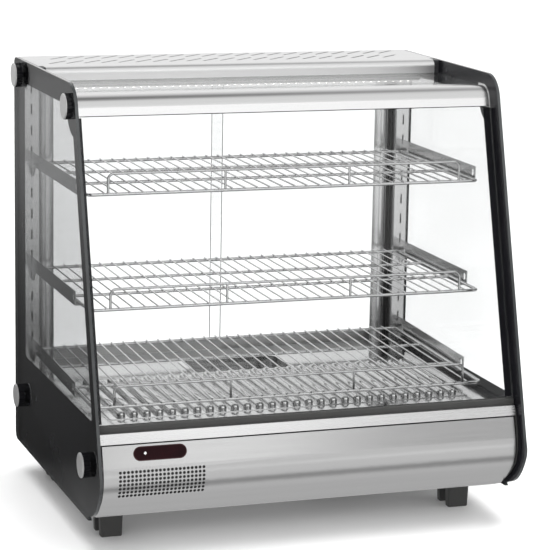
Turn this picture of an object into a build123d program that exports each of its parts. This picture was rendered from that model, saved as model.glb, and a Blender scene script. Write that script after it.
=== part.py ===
from build123d import *
import os

# Countertop hot food display case with glass sides, a sloping glass front,
# three wire shelves and two sliding glass doors at the rear.
# Millimetres, +Z up. X is the width, the front faces -Y, and the feet
# stand on z = 0. A depth is measured forwards from the rear edge of the
# side glass, and at(depth, height) turns it into a point of a side section.

# ---------------------------------------------------------------- sizes
BACK_Y = 266.0            # y of the rear edge of the side glass
TOP = 686.0               # top edge of the side glass
BOTTOM = 50.0             # bottom edge of the side glass and of the body
OUTER_X = 339.0           # outer face of the side glass
GLASS_T = 4.7             # side glass
PRINT_T = 0.3             # black print fused to the inner face of the glass
INNER_X = OUTER_X - GLASS_T - PRINT_T
SLOPE = 0.28              # depth gained by the front for each mm downwards
FRONT_TOP = 392.0         # depth where the front edge meets the top edge
GLASS_KNEE = 143.5        # below this height the front edge curves back
FRONT_CORNER_R = 45.0
REAR_CORNER_R = 14.0
SHEET = 1.2               # stainless sheet

PRINT_FRONT = 42.0        # width of the black print along the front edge
WINDOW_REAR = 55.0        # clear window of the side glass: depth of its rear
WINDOW_TOP = 648.5
WINDOW_BOTTOM = 201.0

KNOB_R = 19.5
KNOB_VALLEY_R = 17.0
KNOB_LENGTH = 9.5
CAP_T = 2.0
CAP_R = 19.0
SCREW_HEAD_R = 11.0
SCREW_HEAD_T = 2.5
SOCKET_R = 3.0
STUD_R = 4.0
NUT_R = 7.5
KNOBS = [(44.0, 661.0), (373.5, 652.0), (50.0, 134.5), (476.0, 134.0)]
NUT_FACES = [332.5, 331.5, 332.4, 332.4]   # inner side of the metal they clamp
NUT_T = 4.0
BORE_R = STUD_R + 0.3     # clearance hole of a stud

DECK_TOP = 185.0
FRONT_SETBACK = 28.0      # outer face of the front glass behind the edge
STRIP_SETBACK = 17.0      # face of the front trim strip behind the edge
FRONT_HALF = 332.5        # half width of the front glass
FRONT_T = 4.15            # front glass, measured along the depth
FRONT_GLASS_TOP = 642.0
FRONT_GLASS_BOTTOM = 190.0
BLACK_STRIP = 10.0
TOP_GLASS_TOP = 665.0
TOP_GLASS_T = 4.0

PROFILE_SETBACK = 24.0
PROFILE_REAR = 336.0
PROFILE_TOP = 666.5
PROFILE_BOTTOM = 636.0
PROFILE_R = 24.0
PROFILE_HALF = 330.5

COVER_HALF = 333.4
COVER_REAR = 4.0
COVER_FRONT = 168.0
COVER_BASE = 664.0
COVER_R = 10.0
VENT_PITCH = 28.2
VENT_COUNT = 21
VENT_LENGTH = 50.0
VENT_WIDTH = 4.0
VENT_ROWS = (36.6, 99.4)  # depths of the two rows of vents

LIGHT_HALF = 302.0
LIGHT_REAR = 148.0
LIGHT_FRONT = 166.0
LIGHT_BASE = 651.0

POST_FRONT = 50.0         # slotted face of the corner posts
POST_INNER = 310.0
JAMB_INNER = 280.0
JAMB_CROWN = 303.0        # the crowned cover strip of the jamb ends here
JAMB_DEPTH = 24.0
SLOT_X = 322.0
SLOT_PITCH = 34.0
SLOT_HEIGHT = 17.0
SLOT_WIDTH = 2.4
FIRST_SLOT = 198.0
SLOT_COUNT = 14

TRACK_HALF = 332.0
TRACK_FRONT = 23.8
TRACK_BASE = 172.0
HEAD_BASE = 645.0         # underside of the upper track
PULL = (380.0, 480.0)     # lower and upper end of the finger pulls
DOOR_BASE = 176.3
DOOR_TOP = 654.0
DOOR_RAIL_TOP = 201.0
LEFT_DOOR = (14.0, -312.0, 13.0)    # front plane: depth, left and right edge
RIGHT_DOOR = (4.5, -7.0, 312.0)     # rear plane
DOOR_T = 6.0
DOOR_GLASS_T = 4.0
STILE = 20.0

SHELF_HALF = 314.5        # perimeter wire centre line
SHELF_REAR = 60.0
WIRE_R = 2.5
SLAT_R = 1.2
SLAT_PITCH = 20.0
SLAT_COUNT = 30
RAIL_HEIGHT = 31.0
RAIL_HALF = 283.0
RAIL_POST = 100.0
RAIL_R = 2.0
# height at depth 50, tilt, depth of the front wire, depth of the bracket tip
TOP_SHELF = (519.5, 0.0, 380.0, 355.0)
MIDDLE_SHELF = (347.5, 0.0, 396.0, 337.0)
BOTTOM_SHELF = (213.0, 0.0246, 420.0, 335.0)
WEB_ABOVE = 18.5          # bracket web above the wire centre line
WEB_T = 1.5

STRIP_TOP = 188.5
STRIP_BOTTOM = 173.6
PANEL_TOP = 171.6
PANEL_HALF = 328.0
PANEL_KNEE = 140.0        # flat above this height, curved below
DISPLAY_X = -241.0
DISPLAY_Z = 158.4
DISPLAY_W = 80.0
DISPLAY_H = 19.0
GRILLE_X = -239.3
GRILLE_TOP = 133.4
GRILLE_BOTTOM = 96.3
GRILLE_COLUMNS = 22
GRILLE_ROWS = 7
GRILLE_WIDTH = 127.4
GRILLE_R = 2.2

FOOT_X = 285.0
FOOT_DEPTHS = (80.0, 392.0)
FOOT_W = 33.0             # at the floor
FOOT_LENGTH = 52.0
LEG_LENGTH = 14.0
LEG_HEIGHT = 36.0

DRAIN_DEPTH = 83.0        # drain gap in the deck, along the sill of the doors
DRAIN_GAP = 4.0

TRAY_HALF = 82.0
TRAY_REAR = 96.0
TRAY_FRONT = 182.0
TRAY_FLOOR = 152.0
RIM = 6.0
ELEMENT_HEIGHT = 164.0
ELEMENT_DEPTHS = (262.0, 338.0)
ELEMENT_LEFT = -229.5
ELEMENT_RIGHT = 240.0
HEATER_HALF = 290.0
HEATER_REAR = 190.0
HEATER_FRONT = 425.0
RIB_PITCH = 20.0
RIB_COUNT = 28
RIB_W = 13.0
RIB_H = 9.0
RIB_MARGIN = 8.0          # flat plate in front of and behind the ribs
RIB_SHOULDER = 5.5
RIB_HOLE_R = 2.5

REAR_PANEL = 3.0
SWITCH_Z = 112.0
POWER_X = 262.0
LIGHT_X = 226.0
THERMOSTAT_X = 160.0
GLAND_X = -292.0
GLAND_Z = 78.0
FAN_X = 120.0
FAN_DEPTH = 300.0
BODY_HALF = 333.6         # half width of the sheet metal body
REAR_PANEL_HALF = 331.5

os.makedirs("parts", exist_ok=True)


# -------------------------------------------------------------- helpers
def at(depth, height):
    """Point of a side section, in the local axes of Plane.YZ."""
    return (BACK_Y - depth, height)


def front_depth(height, setback):
    """Depth of a line parallel to the sloping front edge."""
    return FRONT_TOP - setback + SLOPE * (TOP - height)


def block(x0, x1, depth0, depth1, z0, z1, mode=Mode.ADD):
    """Box by its limits in width, depth and height."""
    centre = ((x0 + x1) / 2, BACK_Y - (depth0 + depth1) / 2, (z0 + z1) / 2)
    with Locations(centre):
        Box(x1 - x0, depth1 - depth0, z1 - z0, mode=mode)


def pair(x0, x1, depth0, depth1, z0, z1, mode=Mode.ADD):
    """The same box on both sides."""
    block(x0, x1, depth0, depth1, z0, z1, mode)
    block(-x1, -x0, depth0, depth1, z0, z1, mode)


def round_bar(x, depth, z, radius, length, direction, mode=Mode.ADD):
    """Cylinder that starts at a point and runs along a direction."""
    lowest = (Align.CENTER, Align.CENTER, Align.MIN)
    with Locations(Plane(origin=(x, BACK_Y - depth, z), z_dir=direction)):
        Cylinder(radius, length, align=lowest, mode=mode)


# ----------------------------------------------------------- side glass
def side_glass_outline():
    """Outline of a side glass with its knob holes."""
    knee = GLASS_KNEE
    with BuildSketch() as outline:
        with BuildLine():
            Polyline(
                at(440, BOTTOM),
                at(0, BOTTOM),
                at(0, TOP),
                at(FRONT_TOP, TOP),
                at(front_depth(knee, 0), knee),
            )
            Spline(
                at(front_depth(knee, 0), knee),
                at(549.5, 124),
                at(543.5, 103),
                at(528, 80),
                at(507, 64.5),
                at(482, 54.5),
                at(440, BOTTOM),
                tangents=((-SLOPE, -1), (1, 0)),
            )
        make_face()
        fillet(outline.vertices().group_by(Axis.Y)[-1].sort_by(Axis.X)[-1], REAR_CORNER_R)
        fillet(outline.vertices().group_by(Axis.Y)[0].sort_by(Axis.X)[-1], REAR_CORNER_R)
        fillet(outline.vertices().group_by(Axis.Y)[-1].sort_by(Axis.X)[0], FRONT_CORNER_R)
        with Locations(*[at(*place) for place in KNOBS]):
            Circle(STUD_R + 0.5, mode=Mode.SUBTRACT)
    return outline.sketch


with BuildPart() as side_glass_right:
    with BuildSketch(Plane.YZ.offset(INNER_X + PRINT_T)):
        add(side_glass_outline())
    extrude(amount=GLASS_T)

side_glass_right.part.label = "side_glass_right"
export_step(side_glass_right.part, "parts/side_glass_right.step")

with BuildPart() as side_glass_left:
    mirror(side_glass_right.part, about=Plane.YZ)

side_glass_left.part.label = "side_glass_left"
export_step(side_glass_left.part, "parts/side_glass_left.step")

# Black print: a frame round the clear window, wider round the front knob.
with BuildPart() as side_print_right:
    with BuildSketch(Plane.YZ.offset(INNER_X)):
        add(side_glass_outline())
    extrude(amount=PRINT_T)
    with BuildSketch(Plane.YZ.offset(INNER_X - 1)) as window:
        with BuildLine():
            Polyline(
                at(WINDOW_REAR, WINDOW_BOTTOM),
                at(WINDOW_REAR, WINDOW_TOP),
                at(front_depth(WINDOW_TOP, PRINT_FRONT), WINDOW_TOP),
                at(front_depth(WINDOW_BOTTOM, PRINT_FRONT), WINDOW_BOTTOM),
                close=True,
            )
        make_face()
        fillet(window.vertices(), 7)
        with Locations(at(KNOBS[1][0] + 4, KNOBS[1][1])):
            Circle(46, mode=Mode.SUBTRACT)
    extrude(amount=PRINT_T + 2, mode=Mode.SUBTRACT)

side_print_right.part.label = "side_print_right"
export_step(side_print_right.part, "parts/side_print_right.step")

with BuildPart() as side_print_left:
    mirror(side_print_right.part, about=Plane.YZ)

side_print_left.part.label = "side_print_left"
export_step(side_print_left.part, "parts/side_print_left.step")


# ---------------------------------------------------------- clamp knobs
# A stud passes through the glass and the metal behind it at each place, with
# a nut on the inside. On the left it carries a lobed knob with a steel cap,
# on the right a flat cap head. The upper front stud is threaded into the
# thick end plate of the profile.
def studs_and_nuts():
    """Studs of the right side with their inner nuts."""
    for place, nut_face in zip(KNOBS, NUT_FACES):
        threaded = place == KNOBS[1]
        nut_t = 0.5 if threaded else NUT_T
        nut_r = STUD_R + 0.2 if threaded else NUT_R
        inner_end = nut_face - nut_t
        round_bar(inner_end, *place, STUD_R, OUTER_X - inner_end + 0.5, (1, 0, 0))
        with BuildSketch(Plane.YZ.offset(inner_end)) as nut:
            with Locations(at(*place)):
                RegularPolygon(nut_r, 6)
        extrude(nut.sketch, amount=nut_t)


with BuildPart() as knobs:
    studs_and_nuts()
    for place in KNOBS:
        with BuildSketch(Plane.YZ.offset(OUTER_X)):
            with Locations(at(*place)):
                Circle(KNOB_VALLEY_R)
                with PolarLocations(KNOB_R - 4.5, 8):
                    Circle(4.5)
        extrude(amount=KNOB_LENGTH)

with BuildPart() as clamp_knobs_left:
    mirror(knobs.part, about=Plane.YZ)

clamp_knobs_left.part.label = "clamp_knobs_left"
export_step(clamp_knobs_left.part, "parts/clamp_knobs_left.step")

with BuildPart() as knob_caps_left:
    with BuildSketch(Plane.YZ.offset(-OUTER_X - KNOB_LENGTH)):
        with Locations(*[at(*place) for place in KNOBS]):
            Circle(CAP_R)
    extrude(amount=-CAP_T)
    chamfer(knob_caps_left.faces().group_by(Axis.X)[0].edges(), 0.8)

knob_caps_left.part.label = "knob_caps_left"
export_step(knob_caps_left.part, "parts/knob_caps_left.step")

with BuildPart() as cap_screws_right:
    studs_and_nuts()
    with BuildSketch(Plane.YZ.offset(OUTER_X)):
        with Locations(*[at(*place) for place in KNOBS]):
            Circle(SCREW_HEAD_R)
    extrude(amount=SCREW_HEAD_T)
    chamfer(cap_screws_right.faces().group_by(Axis.X)[-1].edges(), 0.8)
    with BuildSketch(Plane.YZ.offset(OUTER_X + SCREW_HEAD_T - 1.4)):
        with Locations(*[at(*place) for place in KNOBS]):
            RegularPolygon(SOCKET_R, 6)
    extrude(amount=2, mode=Mode.SUBTRACT)

cap_screws_right.part.label = "cap_screws_right"
export_step(cap_screws_right.part, "parts/cap_screws_right.step")


# ---------------------------------------------------- front and top glass
def front_slab(front, thickness, z0, z1):
    """Section of a flat sheet parallel to the sloping front edge."""
    with BuildSketch() as slab:
        with BuildLine():
            Polyline(
                at(front_depth(z0, front), z0),
                at(front_depth(z1, front), z1),
                at(front_depth(z1, front) - thickness, z1),
                at(front_depth(z0, front) - thickness, z0),
                close=True,
            )
        make_face()
    return slab.sketch


with BuildPart() as front_glass:
    with BuildSketch(Plane.YZ):
        add(front_slab(FRONT_SETBACK, FRONT_T, FRONT_GLASS_BOTTOM, FRONT_GLASS_TOP))
    extrude(amount=FRONT_HALF, both=True)

front_glass.part.label = "front_glass"
export_step(front_glass.part, "parts/front_glass.step")

# Black printed strips along both side edges, on the inner face.
with BuildPart() as front_glass_print:
    for start in (-FRONT_HALF, FRONT_HALF - BLACK_STRIP):
        with BuildSketch(Plane.YZ.offset(start)):
            add(front_slab(FRONT_SETBACK + FRONT_T, PRINT_T, 199, 633.8))
        extrude(amount=BLACK_STRIP)

front_glass_print.part.label = "front_glass_print"
export_step(front_glass_print.part, "parts/front_glass_print.step")

# Rubber channel that holds the foot of the front glass.
with BuildPart() as front_gasket:
    with BuildSketch(Plane.YZ) as gasket_section:
        with BuildLine():
            Polyline(
                at(493.5, DECK_TOP),
                at(507.6, DECK_TOP),
                at(506.4, 197.5),
                at(494.6, 197.5),
                close=True,
            )
        make_face()
        fillet(gasket_section.vertices().group_by(Axis.Y)[-1], 1.5)
    extrude(amount=FRONT_HALF, both=True)
    add(front_glass.part, mode=Mode.SUBTRACT)

front_gasket.part.label = "front_gasket"
export_step(front_gasket.part, "parts/front_gasket.step")

with BuildPart() as top_glass:
    top_glass_base = TOP_GLASS_TOP - TOP_GLASS_T
    block(-333, 333, 150, PROFILE_REAR - 0.3, top_glass_base, TOP_GLASS_TOP)
    chamfer(top_glass.edges().filter_by(Axis.X), 0.5)

top_glass.part.label = "top_glass"
export_step(top_glass.part, "parts/top_glass.step")


# -------------------------------------------------- top profile over front
def profile_outline(grow):
    """Rounded section over the top of the front glass."""
    top = PROFILE_TOP + grow
    bottom = PROFILE_BOTTOM - grow
    setback = PROFILE_SETBACK - grow
    with BuildSketch() as outline:
        with BuildLine():
            Polyline(
                at(PROFILE_REAR - grow, top),
                at(front_depth(top, setback), top),
                at(front_depth(bottom, setback), bottom),
                at(PROFILE_REAR - grow, bottom),
                close=True,
            )
        make_face()
        corner = outline.vertices().group_by(Axis.Y)[-1].sort_by(Axis.X)[0]
        fillet(corner, PROFILE_R + grow)
    return outline.sketch


with BuildPart() as top_front_profile:
    with BuildSketch(Plane.YZ):
        add(profile_outline(0))
    extrude(amount=PROFILE_HALF, both=True)
    with BuildSketch(Plane.YZ):
        add(profile_outline(-SHEET))
    extrude(amount=PROFILE_HALF, both=True, mode=Mode.SUBTRACT)
    # The underside is open in front of the inner lip, where the glass enters.
    block(-335, 335, 337.2, 384, 630, PROFILE_BOTTOM + SHEET + 0.1, Mode.SUBTRACT)
    block(-PROFILE_HALF, PROFILE_HALF, PROFILE_REAR, 372.4, 638.4, 639.6)
    block(-335, 335, PROFILE_REAR - 1, 337.5, 630, 638.4, Mode.SUBTRACT)
    # Ledge under the front edge of the top glass.
    ledge_top = TOP_GLASS_TOP - TOP_GLASS_T
    block(-PROFILE_HALF, PROFILE_HALF, 322, PROFILE_REAR + 0.6, ledge_top - SHEET, ledge_top)

top_front_profile.part.label = "top_front_profile"
export_step(top_front_profile.part, "parts/top_front_profile.step")

# Bright end plates of the profile, which the front knobs clamp.
with BuildPart() as profile_ends:
    with BuildSketch(Plane.YZ.offset(PROFILE_HALF)):
        add(profile_outline(2))
        with Locations(at(*KNOBS[1])):
            Circle(BORE_R, mode=Mode.SUBTRACT)
    extrude(amount=INNER_X - PROFILE_HALF - 0.1)
    mirror(about=Plane.YZ)
    # The front glass is wider than the profile and runs into the plates.
    add(front_glass.part, mode=Mode.SUBTRACT)
    pair(320, 333.2, 300, PROFILE_REAR, TOP_GLASS_TOP - TOP_GLASS_T, 670, Mode.SUBTRACT)

profile_ends.part.label = "profile_ends"
export_step(profile_ends.part, "parts/profile_ends.step")


# -------------------------------------------------------- rear top cover
def cover_outline(inset):
    """Section of the rear cover, rounded along its front edge."""
    with BuildSketch() as outline:
        with BuildLine():
            Polyline(
                at(COVER_REAR + inset, COVER_BASE),
                at(COVER_REAR + inset, TOP - inset),
                at(COVER_FRONT - inset, TOP - inset),
                at(COVER_FRONT - inset, COVER_BASE),
                close=True,
            )
        make_face()
        corner = outline.vertices().group_by(Axis.Y)[-1].sort_by(Axis.X)[0]
        fillet(corner, COVER_R - inset)
    return outline.sketch


with BuildPart() as rear_cover:
    with BuildSketch(Plane.YZ):
        add(cover_outline(0))
    extrude(amount=COVER_HALF, both=True)
    with BuildSketch(Plane.YZ):
        add(cover_outline(SHEET))
    extrude(amount=COVER_HALF - SHEET, both=True, mode=Mode.SUBTRACT)
    # The front flange stops on the top glass and turns in below.
    block(-340, 340, 140, 170, 660, TOP_GLASS_TOP, Mode.SUBTRACT)
    lip_top = TOP_GLASS_TOP + SHEET
    block(-COVER_HALF, COVER_HALF, 155, COVER_FRONT - 0.4, TOP_GLASS_TOP, lip_top)
    pair(326, 340, 144, 170, 660, 690, Mode.SUBTRACT)
    pair(324.8, 326, 144, COVER_FRONT - 1, 668, 675)
    pair(328, 334, 36, 62, 660, 672, Mode.SUBTRACT)
    # Two staggered rows of slanted vents.
    for middle, shift in zip(VENT_ROWS, (0, -VENT_PITCH * 1.2)):
        with BuildSketch(Plane.XY.offset(TOP - 3)):
            with Locations((shift / 2 + 8, BACK_Y - middle)):
                with GridLocations(VENT_PITCH, 1, VENT_COUNT, 1):
                    SlotOverall(VENT_LENGTH, VENT_WIDTH, rotation=45)
        extrude(amount=6, mode=Mode.SUBTRACT)

rear_cover.part.label = "rear_cover"
export_step(rear_cover.part, "parts/rear_cover.step")

# Black plastic clips in the two front corners of the cover.
with BuildPart() as cover_clips:
    pair(326.1, 333.8, 144.2, 167, TOP_GLASS_TOP, 685.6)
    chamfer(cover_clips.edges().filter_by(Axis.X).group_by(Axis.Z)[-1], 2)

cover_clips.part.label = "cover_clips"
export_step(cover_clips.part, "parts/cover_clips.step")


# ------------------------------------------------------------ light bar
with BuildPart() as light_bar:
    with BuildSketch(Plane.YZ) as bar_section:
        with BuildLine():
            Polyline(
                at(LIGHT_REAR, top_glass_base),
                at(LIGHT_FRONT, top_glass_base),
                at(LIGHT_FRONT, LIGHT_BASE + 5),
                at(LIGHT_FRONT - 8, LIGHT_BASE),
                at(LIGHT_REAR, LIGHT_BASE),
                close=True,
            )
        make_face()
    extrude(amount=LIGHT_HALF, both=True)
    recess = LIGHT_HALF - 1
    recess_top = LIGHT_BASE + 2.2
    block(-recess, recess, 149.4, 160, LIGHT_BASE - 2, recess_top, Mode.SUBTRACT)

light_bar.part.label = "light_bar"
export_step(light_bar.part, "parts/light_bar.step")

with BuildPart() as light_diffuser:
    block(-recess + 0.5, recess - 0.5, 149.7, 156, LIGHT_BASE + 0.4, recess_top)
    fillet(light_diffuser.edges().filter_by(Axis.X).group_by(Axis.Z)[0], 0.7)

light_diffuser.part.label = "light_diffuser"
export_step(light_diffuser.part, "parts/light_diffuser.step")


# --------------------------------------------------------- corner posts
with BuildPart() as corner_post_right:
    outer = INNER_X - 0.3
    block(POST_INNER, outer, POST_FRONT - SHEET, POST_FRONT, DECK_TOP, COVER_BASE)
    block(POST_INNER, POST_INNER + SHEET, JAMB_DEPTH, POST_FRONT, DECK_TOP, COVER_BASE)
    block(JAMB_INNER, outer, JAMB_DEPTH, JAMB_DEPTH + SHEET, DECK_TOP, COVER_BASE)
    with BuildSketch(Plane.XY.offset(DECK_TOP)):
        crown_y = BACK_Y - JAMB_DEPTH - SHEET / 2
        middle_x = (JAMB_INNER + JAMB_CROWN) / 2
        with BuildLine():
            Line((JAMB_INNER, crown_y), (JAMB_CROWN, crown_y))
            ThreePointArc((JAMB_CROWN, crown_y), (middle_x, crown_y - 5), (JAMB_INNER, crown_y))
        make_face()
    extrude(amount=COVER_BASE - DECK_TOP)
    block(326, 334, 36, 62, 649, 670, Mode.SUBTRACT)
    block(outer - SHEET, outer, 4, POST_FRONT, DECK_TOP, COVER_BASE)
    block(outer - SHEET, outer, 30, 70, 640, COVER_BASE)
    # Ladder of slots that take the bracket hooks.
    middle = FIRST_SLOT + SLOT_PITCH * (SLOT_COUNT - 1) / 2
    with BuildSketch(Plane.XZ.offset(-(BACK_Y - POST_FRONT + 5))):
        with Locations((SLOT_X, middle)):
            with GridLocations(1, SLOT_PITCH, 1, SLOT_COUNT):
                SlotOverall(SLOT_HEIGHT, SLOT_WIDTH, rotation=90)
    extrude(amount=10, mode=Mode.SUBTRACT)
    round_bar(outer - 3, KNOBS[0][0], KNOBS[0][1], BORE_R, 6, (1, 0, 0), Mode.SUBTRACT)

corner_post_right.part.label = "corner_post_right"
export_step(corner_post_right.part, "parts/corner_post_right.step")

with BuildPart() as corner_post_left:
    mirror(corner_post_right.part, about=Plane.YZ)

corner_post_left.part.label = "corner_post_left"
export_step(corner_post_left.part, "parts/corner_post_left.step")


# ----------------------------------------------------------- door tracks
with BuildPart() as lower_track:
    block(-TRACK_HALF, TRACK_HALF, REAR_PANEL, TRACK_FRONT, TRACK_BASE, DECK_TOP)
    for depth in (LEFT_DOOR[0], RIGHT_DOOR[0]):
        block(-340, 340, depth - 0.5, depth + DOOR_T + 0.5, 176, 190, Mode.SUBTRACT)

lower_track.part.label = "lower_track"
export_step(lower_track.part, "parts/lower_track.step")

with BuildPart() as upper_track:
    block(-TRACK_HALF, TRACK_HALF, REAR_PANEL, TRACK_FRONT, HEAD_BASE, COVER_BASE)
    for depth in (LEFT_DOOR[0], RIGHT_DOOR[0]):
        block(-340, 340, depth - 0.5, depth + DOOR_T + 0.5, 640, 657, Mode.SUBTRACT)

upper_track.part.label = "upper_track"
export_step(upper_track.part, "parts/upper_track.step")


# ---------------------------------------------------------------- doors
def door_pane(door):
    depth, left, right = door
    front = depth + (DOOR_T - DOOR_GLASS_T) / 2
    block(left + 2, right - 2, front, front + DOOR_GLASS_T, DOOR_BASE + 6, DOOR_TOP - 2)


def door_frame(door, stile_left):
    """Bottom and top rail and the outer stile."""
    depth, left, right = door
    block(left, right, depth, depth + DOOR_T, DOOR_BASE, DOOR_RAIL_TOP)
    block(left, right, depth, depth + DOOR_T, DOOR_TOP - 14, DOOR_TOP)
    edge = left if stile_left else right - STILE
    block(edge, edge + STILE, depth, depth + DOOR_T, DOOR_BASE, DOOR_TOP)


with BuildPart() as door_left_glass:
    door_pane(LEFT_DOOR)

door_left_glass.part.label = "door_left_glass"
export_step(door_left_glass.part, "parts/door_left_glass.step")

with BuildPart() as door_left_frame:
    door_frame(LEFT_DOOR, True)
    add(door_left_glass.part, mode=Mode.SUBTRACT)

door_left_frame.part.label = "door_left_frame"
export_step(door_left_frame.part, "parts/door_left_frame.step")

with BuildPart() as door_right_glass:
    door_pane(RIGHT_DOOR)

door_right_glass.part.label = "door_right_glass"
export_step(door_right_glass.part, "parts/door_right_glass.step")

with BuildPart() as door_right_frame:
    door_frame(RIGHT_DOOR, False)
    add(door_right_glass.part, mode=Mode.SUBTRACT)

door_right_frame.part.label = "door_right_frame"
export_step(door_right_frame.part, "parts/door_right_frame.step")

# Black finger pulls on the rear face of each outer stile.
with BuildPart() as door_left_pull:
    block(-310, -297, LEFT_DOOR[0] - 2.6, LEFT_DOOR[0], *PULL)
    fillet(door_left_pull.edges().filter_by(Axis.Y), 4)
    dish = (PULL[0] + 10, PULL[1] - 10)
    block(-307, -300, LEFT_DOOR[0] - 3, LEFT_DOOR[0] - 1, *dish, Mode.SUBTRACT)

door_left_pull.part.label = "door_left_pull"
export_step(door_left_pull.part, "parts/door_left_pull.step")

with BuildPart() as door_right_pull:
    block(297, 310, RIGHT_DOOR[0] - 2.6, RIGHT_DOOR[0], *PULL)
    fillet(door_right_pull.edges().filter_by(Axis.Y), 4)
    block(300, 307, RIGHT_DOOR[0] - 3, RIGHT_DOOR[0] - 1, *dish, Mode.SUBTRACT)

door_right_pull.part.label = "door_right_pull"
export_step(door_right_pull.part, "parts/door_right_pull.step")


# -------------------------------------------------------------- shelves
def shelf_height(shelf, depth):
    """Height of the perimeter wire's centre line at a depth."""
    return shelf[0] - shelf[1] * (depth - 50)


def wire_shelf(shelf):
    """Perimeter wire, two cross wires and the slats welded on top."""
    front = shelf[2]
    middle = (front + SHELF_REAR) / 2
    flat = Plane(
        origin=(0, BACK_Y - middle, shelf_height(shelf, middle)),
        x_dir=(1, 0, 0),
        z_dir=(0, -shelf[1], 1),
    )
    half = (front - SHELF_REAR) / 2 / flat.y_dir.Y
    start = flat.from_local_coords((0, -half, 0))
    with BuildPart() as wires:
        with BuildLine(flat):
            FilletPolyline(
                (0, -half),
                (SHELF_HALF, -half),
                (SHELF_HALF, half),
                (0, half),
                radius=9,
            )
        with BuildSketch(Plane(origin=start, z_dir=(1, 0, 0))):
            Circle(WIRE_R)
        sweep()
        mirror(about=Plane.YZ)
        ends = Plane(
            origin=flat.from_local_coords((0, -half - 3, WIRE_R + SLAT_R - 0.5)),
            x_dir=(-1, 0, 0),
            z_dir=flat.y_dir,
        )
        with BuildSketch(ends):
            with GridLocations(SLAT_PITCH, 1, SLAT_COUNT, 1):
                Circle(SLAT_R)
        extrude(amount=2 * half + 8)
        for share in (-0.34, 0.34):
            wire_end = flat.from_local_coords((-SHELF_HALF, half * share, 0))
            with BuildSketch(Plane(origin=wire_end, z_dir=(1, 0, 0))):
                Circle(WIRE_R - 0.2)
            extrude(amount=2 * SHELF_HALF)
    return wires


def guard_rail(shelf):
    """Bent wire rail on the front wire of a shelf, with two middle posts."""
    base = shelf_height(shelf, shelf[2]) + WIRE_R
    top = base - WIRE_R + RAIL_HEIGHT
    front_y = BACK_Y - shelf[2]
    with BuildPart() as rail:
        with BuildLine(Plane.XZ.offset(-front_y)):
            FilletPolyline(
                (-RAIL_HALF, base),
                (-RAIL_HALF, top),
                (RAIL_HALF, top),
                (RAIL_HALF, base),
                radius=9,
            )
        with BuildSketch(Plane(origin=(-RAIL_HALF, front_y, base), z_dir=(0, 0, 1))):
            Circle(RAIL_R)
        sweep()
        with BuildSketch(Plane.XY.offset(base)):
            with Locations((0, front_y)):
                with GridLocations(2 * RAIL_POST, 1, 2, 1):
                    Circle(RAIL_R - 0.2)
        extrude(amount=top - base)
    return rail


def shelf_brackets(shelf):
    """Pair of brackets: web, inward flange, hooks and a keyhole slot."""
    tip = shelf[3]
    start = POST_FRONT + 0.1
    web_x = SLOT_X - WEB_T / 2

    def edge(depth, above):
        return at(depth, shelf_height(shelf, depth) + above)

    with BuildPart() as brackets:
        with BuildSketch(Plane.YZ.offset(web_x)):
            with BuildLine():
                Polyline(
                    edge(start, WEB_ABOVE),
                    edge(tip, WEB_ABOVE),
                    edge(tip, -WIRE_R - 0.3 - SHEET),
                    edge(start + 26, -WIRE_R - 0.3 - SHEET),
                    edge(start + 12, -20),
                    edge(start, -20),
                    close=True,
                )
            make_face()
            with Locations(edge(tip - 9, 8)):
                SlotOverall(12, 7, rotation=90, mode=Mode.SUBTRACT)
            with Locations(edge(start + 24, 4)):
                SlotOverall(12, 3.5, rotation=90, mode=Mode.SUBTRACT)
            with Locations(edge(tip - 48, 8), edge(start + 62, 8)):
                Circle(1.8, mode=Mode.SUBTRACT)
        extrude(amount=WEB_T)
        with BuildSketch(Plane.YZ.offset(web_x - 9)):
            with BuildLine():
                Polyline(
                    edge(start + 6, -WIRE_R - 0.3),
                    edge(tip + 1, -WIRE_R - 0.3),
                    edge(tip + 1, -WIRE_R - 0.3 - SHEET),
                    edge(start + 6, -WIRE_R - 0.3 - SHEET),
                    close=True,
                )
            make_face()
        extrude(amount=9.5)
        # Hooks through two slots of the post.
        for low, high in ((WEB_ABOVE - 6, WEB_ABOVE), (-19, -12)):
            hook_low = shelf_height(shelf, 50) + low
            hook_top = shelf_height(shelf, 50) + high
            block(web_x, web_x + WEB_T, 45, start + 1, hook_low, hook_top)
            block(web_x, web_x + WEB_T, 45, 48.4, hook_low - 3, hook_top)
        mirror(about=Plane.YZ)
    return brackets


shelf_top = wire_shelf(TOP_SHELF)
shelf_top.part.label = "shelf_top"
export_step(shelf_top.part, "parts/shelf_top.step")

shelf_middle = wire_shelf(MIDDLE_SHELF)
shelf_middle.part.label = "shelf_middle"
export_step(shelf_middle.part, "parts/shelf_middle.step")

shelf_bottom = wire_shelf(BOTTOM_SHELF)
shelf_bottom.part.label = "shelf_bottom"
export_step(shelf_bottom.part, "parts/shelf_bottom.step")

guard_rail_top = guard_rail(TOP_SHELF)
guard_rail_top.part.label = "guard_rail_top"
export_step(guard_rail_top.part, "parts/guard_rail_top.step")

guard_rail_middle = guard_rail(MIDDLE_SHELF)
guard_rail_middle.part.label = "guard_rail_middle"
export_step(guard_rail_middle.part, "parts/guard_rail_middle.step")

guard_rail_bottom = guard_rail(BOTTOM_SHELF)
guard_rail_bottom.part.label = "guard_rail_bottom"
export_step(guard_rail_bottom.part, "parts/guard_rail_bottom.step")

brackets_top = shelf_brackets(TOP_SHELF)
brackets_top.part.label = "brackets_top"
export_step(brackets_top.part, "parts/brackets_top.step")

brackets_middle = shelf_brackets(MIDDLE_SHELF)
brackets_middle.part.label = "brackets_middle"
export_step(brackets_middle.part, "parts/brackets_middle.step")

brackets_bottom = shelf_brackets(BOTTOM_SHELF)
brackets_bottom.part.label = "brackets_bottom"
export_step(brackets_bottom.part, "parts/brackets_bottom.step")


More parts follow.
